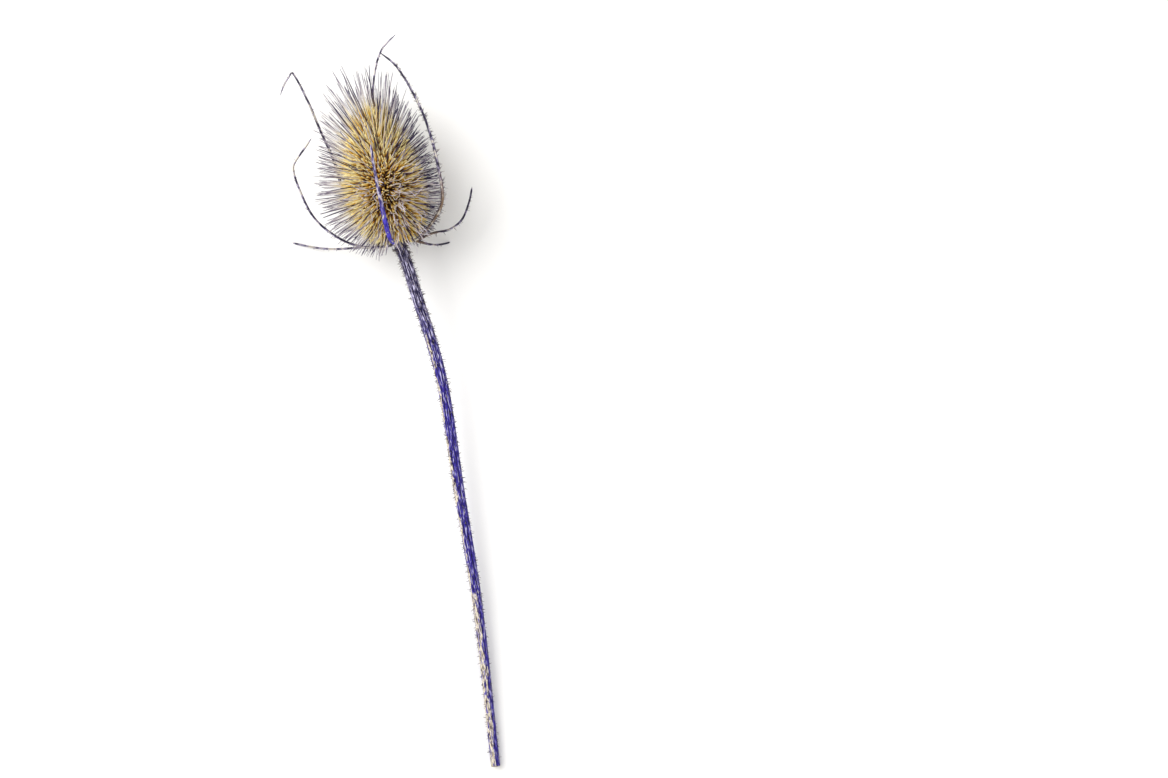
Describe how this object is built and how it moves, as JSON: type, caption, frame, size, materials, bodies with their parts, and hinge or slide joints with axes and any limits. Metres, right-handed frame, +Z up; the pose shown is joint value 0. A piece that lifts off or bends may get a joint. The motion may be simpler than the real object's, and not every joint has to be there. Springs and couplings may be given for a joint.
{
  "type": "teasel seed head",
  "caption": "Dried teasel seed head lying on its side: an egg-shaped head of stiff spines with long curved prickly bracts round its base, on a ridged and prickly cut stem.",
  "frame": {"origin": "on the surface the teasel lies on, under the middle of its bounding box", "axes": "+Z up from the surface; +Y along the teasel from the cut end of the stem to the head; +X to the right of the head seen from above"},
  "size_m": [0.0894, 0.299, 0.0525],
  "materials": {
    "spines": "dry golden ochre spines with violet-grey points",
    "bracts": "dry violet-grey blades with pale streaks",
    "stem": "dry indigo stem with pale ridges"
  },
  "bodies": {
    "root": {"seed_head": "spines", "bract_front": "bracts", "bract_right_tall": "bracts", "bract_right": "bracts", "bract_right_short": "bracts", "bract_under": "bracts", "bract_left_tall": "bracts", "bract_left_low": "bracts", "bract_left": "bracts", "stem": "stem"}
  },
  "joints": []
}
